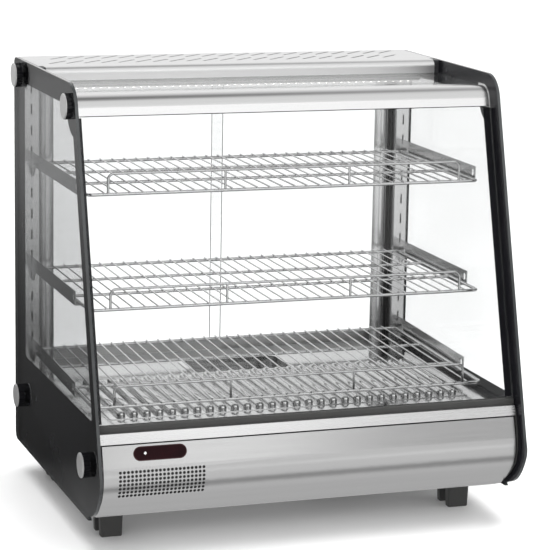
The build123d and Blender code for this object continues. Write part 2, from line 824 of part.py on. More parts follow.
# ------------------------------------------------------- deck and heater
with BuildPart() as deck_plate:
    block(-333, 333, 24, 509, DECK_TOP - SHEET, DECK_TOP)
    block(-TRAY_HALF - 0.6, TRAY_HALF + 0.6, TRAY_REAR - 0.6, TRAY_FRONT + 0.6, 180, 190, Mode.SUBTRACT)
    block(-272, 272, HEATER_REAR + 12, HEATER_FRONT - 12, 180, 190, Mode.SUBTRACT)
    block(-326, 326, DRAIN_DEPTH, DRAIN_DEPTH + DRAIN_GAP, 180, 190, Mode.SUBTRACT)

deck_plate.part.label = "deck_plate"
export_step(deck_plate.part, "parts/deck_plate.step")

# Ribbed plate over the heater: each rib is a long pressed dome, hollow
# underneath, with a hole near its rear end that lets the warm air out.
def long_dome(width, height, shoulder):
    """Plan of a slot, raised and rounded over along its top edge."""
    length = HEATER_FRONT - HEATER_REAR - 2 * RIB_MARGIN - RIB_W + width
    with BuildPart() as dome:
        with BuildSketch(Plane.XY.offset(DECK_TOP)) as plan:
            with Locations((0, BACK_Y - (HEATER_REAR + HEATER_FRONT) / 2)):
                SlotOverall(length, width, rotation=90)
        extrude(plan.sketch, amount=height)
        fillet(dome.faces().sort_by(Axis.Z)[-1].edges(), shoulder)
    return dome.part


with BuildPart() as heater_cover:
    block(-HEATER_HALF, HEATER_HALF, HEATER_REAR, HEATER_FRONT, DECK_TOP, DECK_TOP + SHEET)
    with GridLocations(RIB_PITCH, 1, RIB_COUNT, 1):
        add(long_dome(RIB_W, RIB_H, RIB_SHOULDER))
        add(
            long_dome(RIB_W - 2 * SHEET, RIB_H - SHEET, RIB_SHOULDER - SHEET),
            mode=Mode.SUBTRACT,
        )
    with BuildSketch(Plane.XY.offset(DECK_TOP + RIB_H / 2)):
        with Locations((0, BACK_Y - HEATER_REAR - RIB_MARGIN - RIB_W)):
            with GridLocations(RIB_PITCH, 1, RIB_COUNT, 1):
                Circle(RIB_HOLE_R)
    extrude(amount=RIB_H, mode=Mode.SUBTRACT)

heater_cover.part.label = "heater_cover"
export_step(heater_cover.part, "parts/heater_cover.step")

with BuildPart() as water_tray:
    tray_top = DECK_TOP + 0.3 + SHEET
    block(-TRAY_HALF, TRAY_HALF, TRAY_REAR, TRAY_FRONT, TRAY_FLOOR, tray_top)
    fillet(water_tray.edges().filter_by(Axis.Z), 10)
    fillet(water_tray.edges().group_by(Axis.Z)[0], 6)
    offset(amount=-SHEET, openings=water_tray.faces().sort_by(Axis.Z)[-1])
    with BuildSketch(Plane.XY.offset(tray_top - SHEET)):
        with Locations((0, BACK_Y - (TRAY_REAR + TRAY_FRONT) / 2)):
            width = 2 * TRAY_HALF
            run = TRAY_FRONT - TRAY_REAR
            RectangleRounded(width + 2 * RIM, run + 2 * RIM, 12)
            RectangleRounded(width - SHEET, run - SHEET, 9, mode=Mode.SUBTRACT)
    extrude(amount=SHEET)

water_tray.part.label = "water_tray"
export_step(water_tray.part, "parts/water_tray.step")


# ---------------------------------------------------- front strip, panel
with BuildPart() as front_strip:
    with BuildSketch(Plane.YZ):
        add(front_slab(STRIP_SETBACK, SHEET + 0.1, STRIP_BOTTOM, STRIP_TOP))
    extrude(amount=331, both=True)
    block(-331, 331, 507.8, front_depth(STRIP_TOP, STRIP_SETBACK) - 0.6, STRIP_TOP - SHEET, STRIP_TOP)
    under = DECK_TOP - SHEET
    block(-331, 331, 498, front_depth(under, STRIP_SETBACK) - 0.9, under - SHEET, under)

front_strip.part.label = "front_strip"
export_step(front_strip.part, "parts/front_strip.step")


def panel_section(inset, rear):
    """Section behind the front panel: flat above, curving under the case."""
    top_depth = front_depth(PANEL_TOP, STRIP_SETBACK) - inset
    knee_depth = front_depth(PANEL_KNEE, STRIP_SETBACK) - inset
    with BuildSketch() as section:
        with BuildLine():
            Spline(
                at(knee_depth, PANEL_KNEE),
                at(530.5 - inset, 121),
                at(524.5 - inset * 0.95, 98 + inset * 0.4),
                at(508 - inset * 0.72, 77 + inset * 0.7),
                at(484 - inset * 0.45, 57.5 + inset * 0.9),
                at(470, 51.2 + inset),
                tangents=((-SLOPE, -1), (1, -0.2)),
            )
            Polyline(
                at(470, 51.2 + inset),
                at(rear, 51.2 + inset),
                at(rear, PANEL_TOP - inset),
                at(top_depth, PANEL_TOP - inset),
                at(knee_depth, PANEL_KNEE),
            )
        make_face()
    return section.sketch


with BuildPart() as front_panel:
    with BuildSketch(Plane.YZ):
        add(panel_section(0, 460))
    extrude(amount=PANEL_HALF, both=True)
    with BuildSketch(Plane.YZ):
        add(panel_section(SHEET, 440))
    extrude(amount=PANEL_HALF + 1, both=True, mode=Mode.SUBTRACT)
    block(-340, 340, 440, 506, 150, 210, Mode.SUBTRACT)
    # Opening of the temperature display.
    with BuildSketch(Plane.XZ.offset(-(BACK_Y - 500))):
        with Locations((DISPLAY_X, DISPLAY_Z)):
            SlotOverall(DISPLAY_W, DISPLAY_H)
    extrude(amount=50, mode=Mode.SUBTRACT)
    # Air grille below it.
    with BuildSketch(Plane.XZ.offset(-(BACK_Y - 500))):
        with Locations((GRILLE_X, (GRILLE_TOP + GRILLE_BOTTOM) / 2)):
            step_x = GRILLE_WIDTH / (GRILLE_COLUMNS - 1)
            step_z = (GRILLE_TOP - GRILLE_BOTTOM) / (GRILLE_ROWS - 1)
            with GridLocations(step_x, step_z, GRILLE_COLUMNS, GRILLE_ROWS):
                Circle(GRILLE_R)
    extrude(amount=50, mode=Mode.SUBTRACT)

front_panel.part.label = "front_panel"
export_step(front_panel.part, "parts/front_panel.step")

# Tinted display window, flush in its opening, and the board behind it.
with BuildPart() as display_window:
    with BuildSketch(Plane.XZ.offset(-(BACK_Y - 500))):
        with Locations((DISPLAY_X, DISPLAY_Z)):
            SlotOverall(DISPLAY_W - 0.4, DISPLAY_H - 0.4)
    extrude(amount=50)
    with BuildSketch(Plane.YZ.offset(DISPLAY_X)):
        add(front_slab(STRIP_SETBACK + 0.2, 3.0, 145, 172))
    extrude(amount=60, both=True, mode=Mode.INTERSECT)

display_window.part.label = "display_window"
export_step(display_window.part, "parts/display_window.step")

with BuildPart() as display_board:
    with BuildSketch(Plane.YZ.offset(DISPLAY_X - 38)):
        add(front_slab(STRIP_SETBACK + 3.2, 12, 149, 168))
    extrude(amount=76)
    fillet(display_board.edges().filter_by(Axis.X), 1.5)

display_board.part.label = "display_board"
export_step(display_board.part, "parts/display_board.step")

# Black rubber fillers between the panel ends and the side glass.
with BuildPart() as side_fillers:
    with BuildSketch(Plane.YZ.offset(PANEL_HALF + 3.2)):
        with BuildLine():
            Polyline(
                at(front_depth(183.6, STRIP_SETBACK + 3), 183.6),
                at(front_depth(PANEL_KNEE, STRIP_SETBACK + 3), PANEL_KNEE),
                at(527, 121),
                at(521.5, 98),
                at(505, 79),
                at(482, 61),
                at(470, 58),
                at(470, 64),
                at(500, 84),
                at(514, 101),
                at(519, 121),
                at(front_depth(PANEL_KNEE, STRIP_SETBACK + 11), PANEL_KNEE),
                at(front_depth(183.6, STRIP_SETBACK + 11), 183.6),
                close=True,
            )
        make_face()
    extrude(amount=INNER_X - PANEL_HALF - 3.3)
    mirror(about=Plane.YZ)

side_fillers.part.label = "side_fillers"
export_step(side_fillers.part, "parts/side_fillers.step")


# ------------------------------------------------------------- base body
with BuildPart() as base_pan:
    block(-BODY_HALF, BODY_HALF, 6, 470, BOTTOM, BOTTOM + SHEET)
    pair(BODY_HALF - SHEET, BODY_HALF, 6, 494, BOTTOM, DECK_TOP - SHEET)
    pair(332, 334, 462, 500, 40, 88, Mode.SUBTRACT)
    # The front corners of the bottom stay above the curve of the side glass.
    pair(324, 334, 446, 480, 40, BOTTOM + SHEET, Mode.SUBTRACT)
    pair(322, BODY_HALF, 24.5, 496, DECK_TOP - 2 * SHEET, DECK_TOP - SHEET)
    for side in (-1, 1):
        for place in KNOBS[2:]:
            round_bar(side * 330, *place, BORE_R, 6, (side, 0, 0), Mode.SUBTRACT)
    # Air inlet slots in the bottom.
    with BuildSketch(Plane.XY.offset(BOTTOM - 2)):
        with Locations((FAN_X, BACK_Y - FAN_DEPTH)):
            with GridLocations(14, 1, 9, 1):
                SlotOverall(90, 6, rotation=90)
    extrude(amount=6, mode=Mode.SUBTRACT)

base_pan.part.label = "base_pan"
export_step(base_pan.part, "parts/base_pan.step")

with BuildPart() as rear_panel:
    half = REAR_PANEL_HALF
    block(-half, half, REAR_PANEL, REAR_PANEL + SHEET, BOTTOM + SHEET, TRACK_BASE)
    block(-half, half, REAR_PANEL, 16, BOTTOM + SHEET, BOTTOM + 2 * SHEET)
    for x in (POWER_X, LIGHT_X):
        block(x - 6.6, x + 6.6, 0, 8, SWITCH_Z - 13.4, SWITCH_Z + 13.4, Mode.SUBTRACT)
    round_bar(THERMOSTAT_X, -2, SWITCH_Z, 3.4, 10, (0, -1, 0), Mode.SUBTRACT)
    round_bar(GLAND_X, -2, GLAND_Z, 8, 10, (0, -1, 0), Mode.SUBTRACT)
    # Louvre slots for the warm air of the electrics.
    with BuildSketch(Plane.XZ.offset(-(BACK_Y + 2))):
        with Locations((-120, SWITCH_Z)):
            with GridLocations(62, 9, 4, 7):
                SlotOverall(54, 3.4)
    extrude(amount=12, mode=Mode.SUBTRACT)

rear_panel.part.label = "rear_panel"
export_step(rear_panel.part, "parts/rear_panel.step")


# -------------------------------------------------------- rear controls
with BuildPart() as switch_bezels:
    for x in (POWER_X, LIGHT_X):
        block(x - 9, x + 9, REAR_PANEL - 2, REAR_PANEL, SWITCH_Z - 16, SWITCH_Z + 16)
        block(x - 6.5, x + 6.5, REAR_PANEL, 13, SWITCH_Z - 13.3, SWITCH_Z + 13.3)
        block(x - 5.6, x + 5.6, -5, 12, SWITCH_Z - 12.4, SWITCH_Z + 12.4, Mode.SUBTRACT)

switch_bezels.part.label = "switch_bezels"
export_step(switch_bezels.part, "parts/switch_bezels.step")


def rocker(x):
    """Rocker that pivots about an axis along X, 7.5 mm inside its face."""
    with BuildPart() as button:
        with BuildSketch(Plane.YZ.offset(x - 5.2)):
            with BuildLine():
                Polyline(
                    at(-1.5, SWITCH_Z + 9),
                    at(1.0, SWITCH_Z),
                    at(1.4, SWITCH_Z - 9.4),
                    at(6.0, SWITCH_Z - 8.5),
                    at(9.0, SWITCH_Z),
                    at(6.0, SWITCH_Z + 8.5),
                    close=True,
                )
            make_face()
        extrude(amount=10.4)
        with BuildSketch(Plane.YZ.offset(x - 5.5)):
            with Locations(at(7.5, SWITCH_Z)):
                Circle(1.2)
        extrude(amount=11)
    return button


power_switch = rocker(POWER_X)
power_switch.part.label = "power_switch"
export_step(power_switch.part, "parts/power_switch.step")

light_switch = rocker(LIGHT_X)
light_switch.part.label = "light_switch"
export_step(light_switch.part, "parts/light_switch.step")

with BuildPart() as thermostat_knob:
    with BuildSketch(Plane.XZ.offset(-(BACK_Y + 18))):
        with Locations((THERMOSTAT_X, SWITCH_Z)):
            Circle(16)
            with PolarLocations(17.5, 12):
                Circle(2.6, mode=Mode.SUBTRACT)
    extrude(amount=14)
    rear_face = thermostat_knob.faces().sort_by(Axis.Y)[-1]
    chamfer(rear_face.edges(), 1)
    block(THERMOSTAT_X - 1.2, THERMOSTAT_X + 1.2, -18.5, -16.8, SWITCH_Z, SWITCH_Z + 15, Mode.SUBTRACT)
    round_bar(THERMOSTAT_X, -5, SWITCH_Z, 13.5, 4, (0, -1, 0))
    round_bar(THERMOSTAT_X, -2, SWITCH_Z, 3.0, 12, (0, -1, 0))

thermostat_knob.part.label = "thermostat_knob"
export_step(thermostat_knob.part, "parts/thermostat_knob.step")

# Thermostat body, inside the rear panel.
with BuildPart() as thermostat_body:
    block(THERMOSTAT_X - 21, THERMOSTAT_X + 21, REAR_PANEL + SHEET, 34, SWITCH_Z - 18, SWITCH_Z + 18)
    round_bar(THERMOSTAT_X, 0, SWITCH_Z, 3.2, 14, (0, -1, 0), Mode.SUBTRACT)

thermostat_body.part.label = "thermostat_body"
export_step(thermostat_body.part, "parts/thermostat_body.step")

# Gland where the supply cable would enter.
with BuildPart() as cable_gland:
    with BuildSketch(Plane.XZ.offset(-(BACK_Y - REAR_PANEL + 5))):
        with Locations((GLAND_X, GLAND_Z)):
            RegularPolygon(12, 6)
    extrude(amount=5)
    round_bar(GLAND_X, REAR_PANEL - 12, GLAND_Z, 9.5, 7.5, (0, -1, 0))
    fillet(cable_gland.faces().sort_by(Axis.Y)[-1].edges(), 2)
    round_bar(GLAND_X, REAR_PANEL, GLAND_Z, 7.8, 8, (0, -1, 0))
    with BuildSketch(Plane.XZ.offset(-(BACK_Y - REAR_PANEL - SHEET))):
        with Locations((GLAND_X, GLAND_Z)):
            RegularPolygon(11, 6)
    extrude(amount=4)
    round_bar(GLAND_X, -20, GLAND_Z, 4.5, 40, (0, -1, 0), Mode.SUBTRACT)

cable_gland.part.label = "cable_gland"
export_step(cable_gland.part, "parts/cable_gland.step")


# ------------------------------------------------------------ internals
with BuildPart() as heating_element:
    block(-232, -229, 240, 360, BOTTOM + SHEET, 176)
    rear_y = BACK_Y - ELEMENT_DEPTHS[0]
    front_y = BACK_Y - ELEMENT_DEPTHS[1]
    with BuildLine(Plane.XY.offset(ELEMENT_HEIGHT)):
        FilletPolyline(
            (ELEMENT_LEFT, rear_y),
            (ELEMENT_RIGHT, rear_y),
            (ELEMENT_RIGHT, front_y),
            (ELEMENT_LEFT, front_y),
            radius=30,
        )
    with BuildSketch(Plane(origin=(ELEMENT_LEFT, rear_y, ELEMENT_HEIGHT), z_dir=(1, 0, 0))):
        Circle(4)
    sweep()

heating_element.part.label = "heating_element"
export_step(heating_element.part, "parts/heating_element.step")

with BuildPart() as fan_motor:
    round_bar(FAN_X, FAN_DEPTH, 66, 36, 30, (0, 0, 1))
    fillet(fan_motor.edges().group_by(Axis.Z)[-1], 3)
    for turn in (-1, 1):
        block(FAN_X + turn * 46 - 6, FAN_X + turn * 46 + 6, 294, 306, BOTTOM + SHEET, 72)
    block(FAN_X - 52, FAN_X + 52, 294, 306, 70, 74)

fan_motor.part.label = "fan_motor"
export_step(fan_motor.part, "parts/fan_motor.step")

with BuildPart() as fan_blades:
    round_bar(FAN_X, FAN_DEPTH, 96.5, 3, 24, (0, 0, 1))
    round_bar(FAN_X, FAN_DEPTH, 100, 16, 18, (0, 0, 1))
    with Locations((FAN_X, BACK_Y - FAN_DEPTH, 109)):
        with PolarLocations(34, 6):
            Box(42, 1.6, 15, rotation=(38, 0, 0))

fan_blades.part.label = "fan_blades"
export_step(fan_blades.part, "parts/fan_blades.step")

with BuildPart() as terminal_block:
    block(-260, -180, 70, 110, BOTTOM + SHEET, 78)
    with BuildSketch(Plane.XY.offset(78)):
        with Locations((-220, BACK_Y - 90)):
            with GridLocations(15, 18, 5, 2):
                Rectangle(10, 12)
    extrude(amount=-8, mode=Mode.SUBTRACT)

terminal_block.part.label = "terminal_block"
export_step(terminal_block.part, "parts/terminal_block.step")

with BuildPart() as light_driver:
    block(200, 290, 60, 100, BOTTOM + SHEET, 82)
    fillet(light_driver.edges().filter_by(Axis.Z), 3)

light_driver.part.label = "light_driver"
export_step(light_driver.part, "parts/light_driver.step")


# ----------------------------------------------------------------- feet
# Each foot is a tapered block on two legs, front and rear.
with BuildPart() as feet:
    with BuildSketch(Plane.XY):
        for depth in FOOT_DEPTHS:
            with Locations((-FOOT_X, BACK_Y - depth), (FOOT_X, BACK_Y - depth)):
                RectangleRounded(FOOT_W, FOOT_LENGTH - 4, 3)
    extrude(amount=BOTTOM, taper=-2.4)
    chamfer(feet.faces().group_by(Axis.Z)[0].edges(), 1)
    gap = FOOT_LENGTH / 2 - LEG_LENGTH
    for depth in FOOT_DEPTHS:
        pair(FOOT_X - 40, FOOT_X + 40, depth - gap, depth + gap, -1, LEG_HEIGHT, Mode.SUBTRACT)

feet.part.label = "feet"
export_step(feet.part, "parts/feet.step")

# Pan head screws of the rear panel.
with BuildPart() as rear_screws:
    for x in (-318, -160, 0, 105, 318):
        for z in (62, 162):
            round_bar(x, REAR_PANEL, z, 3.6, 2, (0, 1, 0))
    fillet(rear_screws.faces().group_by(Axis.Y)[-1].edges(), 1.4)

rear_screws.part.label = "rear_screws"
export_step(rear_screws.part, "parts/rear_screws.step")
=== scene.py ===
import math

import bmesh
import bpy
from mathutils import Matrix, Vector


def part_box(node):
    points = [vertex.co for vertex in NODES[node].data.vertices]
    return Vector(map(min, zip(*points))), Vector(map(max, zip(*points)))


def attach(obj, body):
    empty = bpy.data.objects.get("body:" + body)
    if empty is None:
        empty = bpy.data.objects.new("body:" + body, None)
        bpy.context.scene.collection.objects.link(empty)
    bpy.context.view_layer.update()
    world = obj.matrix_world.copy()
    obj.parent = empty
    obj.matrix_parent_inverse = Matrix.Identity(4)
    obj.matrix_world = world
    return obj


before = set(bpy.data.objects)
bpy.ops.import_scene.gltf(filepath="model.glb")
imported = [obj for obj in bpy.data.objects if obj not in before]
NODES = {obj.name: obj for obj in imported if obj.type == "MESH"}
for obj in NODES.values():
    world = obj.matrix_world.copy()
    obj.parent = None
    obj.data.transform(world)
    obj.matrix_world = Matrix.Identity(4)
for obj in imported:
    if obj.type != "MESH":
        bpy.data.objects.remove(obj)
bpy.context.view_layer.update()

# Countertop hot food display case. Metres, in the frame of the CAD model:
# X is the width, the front faces -Y, and the feet stand on z = 0.
GLASS_INDEX = 1.46
# Painted brightness of the floor along Y as mirrors see it, darker under and behind the case as painted
# shadow of it and in a band just in front of it, and brightness of the walls by the height of the view.
PAINTED_FLOOR_REFLECTION = [(-4.0, 1.0), (-1.6, 1.0), (-0.9, 0.8), (-0.42, 0.8), (-0.375, 0.35), (-0.34, 0.35),
         (-0.32, 0.7), (0.0, 0.4), (0.3, 0.1), (1.4, 0.18), (3.4, 0.6), (4.0, 0.7)]
FRONT_WALL = [(0.0, 0.8), (0.2, 0.8), (0.27, 0.25), (0.36, 0.25), (0.46, 1.0), (0.93, 1.0),
              (0.98, 0.2), (1.0, 0.15)]
BACK_WALL = [(0.0, 1.1), (0.6, 1.05), (0.85, 0.7), (0.95, 0.2), (1.0, 0.15)]
# Black sheet behind the air grille as painted shade in its holes, scale of the thermostat, marks in ink.
SHADE_SHEET_LEFT = -0.315
SHADE_SHEET_WIDTH = 0.142
SHADE_SHEET_HEIGHTS = (0.092, 0.1376)
DIAL_TICKS = 11
DIAL_TURN = math.radians(270)
DIAL_R = 0.0195
INK_HALF = 0.0004
RING_R = 0.0018
# Corners of one arm of the display's mark: reach and turn from the arm's middle.
MARK_CORNERS = [(0.0025, 0.0), (0.0013, math.pi / 4), (0.0007, 0.0), (0.0013, -math.pi / 4)]
scene = bpy.context.scene


# ------------------------------------------------------------ node helpers
def new_material(name):
    """Material with an empty node tree and its output node."""
    material = bpy.data.materials.new(name)
    material.use_nodes = True
    tree = material.node_tree
    tree.nodes.clear()
    output = tree.nodes.new("ShaderNodeOutputMaterial")
    return material, tree, output


def node(tree, kind, **values):
    """Node with its input sockets or its own settings given by name."""
    made = tree.nodes.new("ShaderNode" + kind)
    for key, value in values.items():
        name = key.replace("_", " ")
        if name in made.inputs:
            made.inputs[name].default_value = value
        else:
            setattr(made, key, value)
    return made


def principled(tree, output, **values):
    """Principled shader joined to the material's output."""
    shader = node(tree, "BsdfPrincipled")
    for key, value in values.items():
        shader.inputs[key.replace("_", " ")].default_value = value
    tree.links.new(shader.outputs[0], output.inputs["Surface"])
    return shader


def object_noise(tree, scale, detail=3.0, stretch=(1, 1, 1), roughness=0.55):
    """Noise over the object's own coordinates, stretched along an axis."""
    place = node(tree, "TexCoord")
    mapping = node(tree, "Mapping", Scale=stretch)
    noise = node(tree, "TexNoise", Scale=scale, Detail=detail, Roughness=roughness)
    tree.links.new(place.outputs["Object"], mapping.inputs["Vector"])
    tree.links.new(mapping.outputs["Vector"], noise.inputs["Vector"])
    return noise.outputs["Fac"]


def spread(tree, value, low, high):
    """The noise value spread over a range of numbers."""
    reach = node(tree, "MapRange")
    reach.inputs["From Min"].default_value = 0.3
    reach.inputs["From Max"].default_value = 0.7
    reach.inputs["To Min"].default_value = low
    reach.inputs["To Max"].default_value = high
    tree.links.new(value, reach.inputs["Value"])
    return reach.outputs["Result"]


def tone(tree, value, dark, light):
    """The noise value turned into a colour between two colours."""
    ramp = node(tree, "ValToRGB")
    ramp.color_ramp.elements[0].position = 0.3
    ramp.color_ramp.elements[0].color = (*dark, 1)
    ramp.color_ramp.elements[1].position = 0.7
    ramp.color_ramp.elements[1].color = (*light, 1)
    tree.links.new(value, ramp.inputs["Fac"])
    return ramp.outputs["Color"]


def bump(tree, height, shader, strength, distance):
    """Bump from a height value into a shader's normal."""
    relief = node(tree, "Bump", Strength=strength, Distance=distance)
    tree.links.new(height, relief.inputs["Height"])
    tree.links.new(relief.outputs["Normal"], shader.inputs["Normal"])


def grey(value, warm=0.0):
    return (value * (1 + warm), value, value * (1 - warm))


# --------------------------------------------------------------- materials
def brushed_steel(name, grain, light=0.66, rough=(0.18, 0.24), metal=1.0, relief=0.02):
    """Brushed stainless steel, with its grain along an axis: 0 X, 1 Y, 2 Z."""
    material, tree, output = new_material(name)
    shader = principled(tree, output, Metallic=metal)
    fine = [1400.0] * 3
    fine[grain] = 9.0
    coarse = [60.0] * 3
    coarse[grain] = 1.2
    streaks = object_noise(tree, 1.0, 4.0, fine)
    bands = object_noise(tree, 1.0, 2.0, coarse)
    tree.links.new(tone(tree, bands, grey(light * 0.96), grey(light)), shader.inputs["Base Color"])
    tree.links.new(spread(tree, streaks, *rough), shader.inputs["Roughness"])
    if relief:
        bump(tree, streaks, shader, relief, 0.00005)
    return material


def polished_steel(name, light=0.72, wave=0.25):
    """Bright sheet steel: a mirror with a slight wave and faint smears."""
    material, tree, output = new_material(name)
    shader = principled(tree, output, Metallic=1.0)
    smears = object_noise(tree, 14.0, 4.0, (1, 2.5, 1))
    waves = object_noise(tree, 9.0, 1.0)
    tree.links.new(tone(tree, smears, grey(light * 0.92), grey(light)), shader.inputs["Base Color"])
    tree.links.new(spread(tree, smears, 0.06, 0.16), shader.inputs["Roughness"])
    bump(tree, waves, shader, wave, 0.002)
    return material


def chrome(name, light=0.72):
    """Chromed wire with slight changes of gloss along its length."""
    material, tree, output = new_material(name)
    shader = principled(tree, output, Metallic=1.0)
    change = object_noise(tree, 60.0, 3.0)
    tree.links.new(tone(tree, change, grey(light * 0.85), grey(light)), shader.inputs["Base Color"])
    tree.links.new(spread(tree, change, 0.1, 0.22), shader.inputs["Roughness"])
    return material


def plain_sheet(name, light=0.5):
    """Zinc coated sheet with a faint spangle."""
    material, tree, output = new_material(name)
    shader = principled(tree, output, Metallic=1.0)
    place = node(tree, "TexCoord")
    cells = node(tree, "TexVoronoi", Scale=90.0)
    tree.links.new(place.outputs["Object"], cells.inputs["Vector"])
    spangle = tone(tree, cells.outputs["Distance"], grey(light), grey(light * 0.86))
    tree.links.new(spangle, shader.inputs["Base Color"])
    tree.links.new(spread(tree, object_noise(tree, 40.0), 0.3, 0.46), shader.inputs["Roughness"])
    return material


def plastic(name, colour, rough=(0.28, 0.4), grain=1500.0, relief=0.08, specular=0.5):
    """Moulded plastic with a fine grain."""
    material, tree, output = new_material(name)
    shader = principled(tree, output)
    shader.inputs["Specular IOR Level"].default_value = specular
    cloud = object_noise(tree, 25.0)
    texture = object_noise(tree, grain, 2.0)
    lighter = tuple(c * 1.25 + 0.002 for c in colour)
    tree.links.new(tone(tree, cloud, colour, lighter), shader.inputs["Base Color"])
    tree.links.new(spread(tree, cloud, *rough), shader.inputs["Roughness"])
    bump(tree, texture, shader, relief, 0.0002)
    return material


def glass_print(name):
    """Black enamel fused to glass, as smooth as the glass."""
    material, tree, output = new_material(name)
    shader = principled(tree, output)
    shader.inputs["Specular IOR Level"].default_value = 0.25
    cloud = object_noise(tree, 8.0)
    enamel = tone(tree, cloud, (0.008, 0.008, 0.010), (0.012, 0.012, 0.015))
    tree.links.new(enamel, shader.inputs["Base Color"])
    tree.links.new(spread(tree, cloud, 0.22, 0.28), shader.inputs["Roughness"])
    return material


def clear_glass(name, face, tint=(0.982, 0.985, 0.985), gloss=1.0, edge=(0.03, 0.032, 0.033)):
    """Flat glass: see-through on its faces and dark along its cut edges.

    face is the axis that the broad faces look along."""
    material, tree, output = new_material(name)
    clear = node(tree, "BsdfTransparent")
    smears = object_noise(tree, 5.0, 2.0)
    tree.links.new(tone(tree, smears, tuple(c * 0.985 for c in tint), tint), clear.inputs["Color"])
    mirror = node(tree, "BsdfGlossy")
    mirror.inputs["Color"].default_value = (*grey(gloss), 1)
    tree.links.new(spread(tree, smears, 0.0, 0.02), mirror.inputs["Roughness"])
    # Rays pass straight through, so the far side mirrors as the near side does.
    shape = node(tree, "NewGeometry")
    index = node(tree, "MapRange")
    index.inputs["To Min"].default_value = GLASS_INDEX
    index.inputs["To Max"].default_value = 1 / GLASS_INDEX
    tree.links.new(shape.outputs["Backfacing"], index.inputs["Value"])
    fresnel = node(tree, "Fresnel")
    tree.links.new(index.outputs["Result"], fresnel.inputs["IOR"])
    pane = node(tree, "MixShader")
    tree.links.new(fresnel.outputs[0], pane.inputs[0])
    tree.links.new(clear.outputs[0], pane.inputs[1])
    tree.links.new(mirror.outputs[0], pane.inputs[2])
    # The cut edges are told from the faces by the surface's own direction.
    split = node(tree, "VectorMath", operation="DOT_PRODUCT")
    split.inputs[1].default_value = face
    tree.links.new(shape.outputs["True Normal"], split.inputs[0])
    size = node(tree, "Math", operation="ABSOLUTE")
    tree.links.new(split.outputs["Value"], size.inputs[0])
    cut = node(tree, "Math", operation="LESS_THAN")
    cut.inputs[1].default_value = 0.8
    tree.links.new(size.outputs[0], cut.inputs[0])
    rim = node(tree, "BsdfPrincipled")
    lighter = tuple(c * 1.5 for c in edge)
    tree.links.new(tone(tree, object_noise(tree, 30.0), edge, lighter), rim.inputs["Base Color"])
    rim.inputs["Roughness"].default_value = 0.12
    both = node(tree, "MixShader")
    tree.links.new(cut.outputs[0], both.inputs[0])
    tree.links.new(pane.outputs[0], both.inputs[1])
    tree.links.new(rim.outputs[0], both.inputs[2])
    tree.links.new(both.outputs[0], output.inputs["Surface"])
    return material


def tinted_window(name):
    """Dark red smoked window of the display."""
    material, tree, output = new_material(name)
    shader = principled(tree, output, Roughness=0.06)
    shader.inputs["Specular IOR Level"].default_value = 0.08
    depth = object_noise(tree, 35.0)
    red = tone(tree, depth, (0.007, 0.001, 0.002), (0.013, 0.0015, 0.003))
    tree.links.new(red, shader.inputs["Base Color"])
    return material


def glowing(name, colour, strength):
    """Milky plastic that is lit from inside, a little unevenly."""
    material, tree, output = new_material(name)
    shader = principled(tree, output, Roughness=0.4)
    cloud = object_noise(tree, 80.0)
    tree.links.new(tone(tree, cloud, tuple(c * 0.9 for c in colour), colour), shader.inputs["Base Color"])
    dim = tuple(c * 0.85 for c in colour)
    tree.links.new(tone(tree, cloud, dim, colour), shader.inputs["Emission Color"])
    shader.inputs["Emission Strength"].default_value = strength
    return material


STEEL_X = brushed_steel("steel_brushed_across", 0)
PANEL = brushed_steel("steel_front_panel", 0, 0.62)
STRIP = brushed_steel("steel_front_strip", 0, 0.82, (0.24, 0.3))
COVER = brushed_steel("steel_rear_cover", 0, 0.8, (0.34, 0.42))
STEEL_Y = brushed_steel("steel_brushed_back", 1)
STEEL_Z = brushed_steel("steel_brushed_up", 2, 0.84, (0.2, 0.26), relief=0.0)
BRIGHT = polished_steel("steel_polished")
DECK = polished_steel("steel_deck", 0.62, 0.35)
WIRE = chrome("chromed_wire")
SHEET = plain_sheet("zinc_sheet", 0.66)
ALUMINIUM = brushed_steel("anodised_aluminium", 0, 0.6, (0.3, 0.42))
FRAME_METAL = brushed_steel("satin_aluminium", 2, 0.6, (0.3, 0.42))
CAP = brushed_steel("satin_cap", 1, 0.5, (0.3, 0.4), 0.6)
PRINT = glass_print("black_print")
KNOB = plastic("knob_black", (0.004, 0.004, 0.005), (0.12, 0.2), 900.0, 0.03, 0.2)
BLACK = plastic("black_plastic", (0.02, 0.02, 0.022), (0.38, 0.5))
RUBBER = plastic("black_rubber", (0.035, 0.035, 0.034), (0.5, 0.68), 600.0, 0.2)
SIDE_GLASS = clear_glass("side_glass", (1, 0, 0), (0.9, 0.905, 0.907), 0.45)
CLEAR_SIDE_GLASS = clear_glass("side_glass_clear", (1, 0, 0), gloss=0.6)
FRONT_GLASS = clear_glass("front_glass", (0, -0.963, 0.27), gloss=0.35)
TOP_GLASS = clear_glass("top_glass", (0, 0, 1))
DOOR_GLASS = clear_glass("door_glass", (0, 1, 0), gloss=0.6)
WINDOW = tinted_window("display_window")
BOARD = plastic("circuit_board", (0.01, 0.09, 0.03), (0.3, 0.45), 700.0, 0.2)
MILKY = glowing("light_diffuser", (0.95, 0.95, 0.92), 1.2)
LED = glowing("led", (1.0, 0.98, 0.92), 5.0)
GREEN = plastic("switch_green", (0.01, 0.2, 0.04), (0.15, 0.25))
RED = plastic("switch_red", (0.3, 0.012, 0.01), (0.15, 0.25))
SHEATH = brushed_steel("heater_sheath", 0, 0.3, (0.35, 0.5))
MOTOR = plastic("motor_paint", (0.05, 0.05, 0.055), (0.3, 0.45))
FAN = plastic("fan_moulding", (0.03, 0.03, 0.03), (0.35, 0.5))
SCREW = brushed_steel("screw_steel", 0, 0.6, (0.2, 0.3))
MARK = glowing("lit_mark", (0.9, 0.9, 0.9), 0.7)
SEAL = plastic("seal_rubber", (0.008, 0.008, 0.008), (0.45, 0.6), 600.0, 0.1)
RIM = plastic("display_rim", (0.03, 0.008, 0.01), (0.2, 0.3))
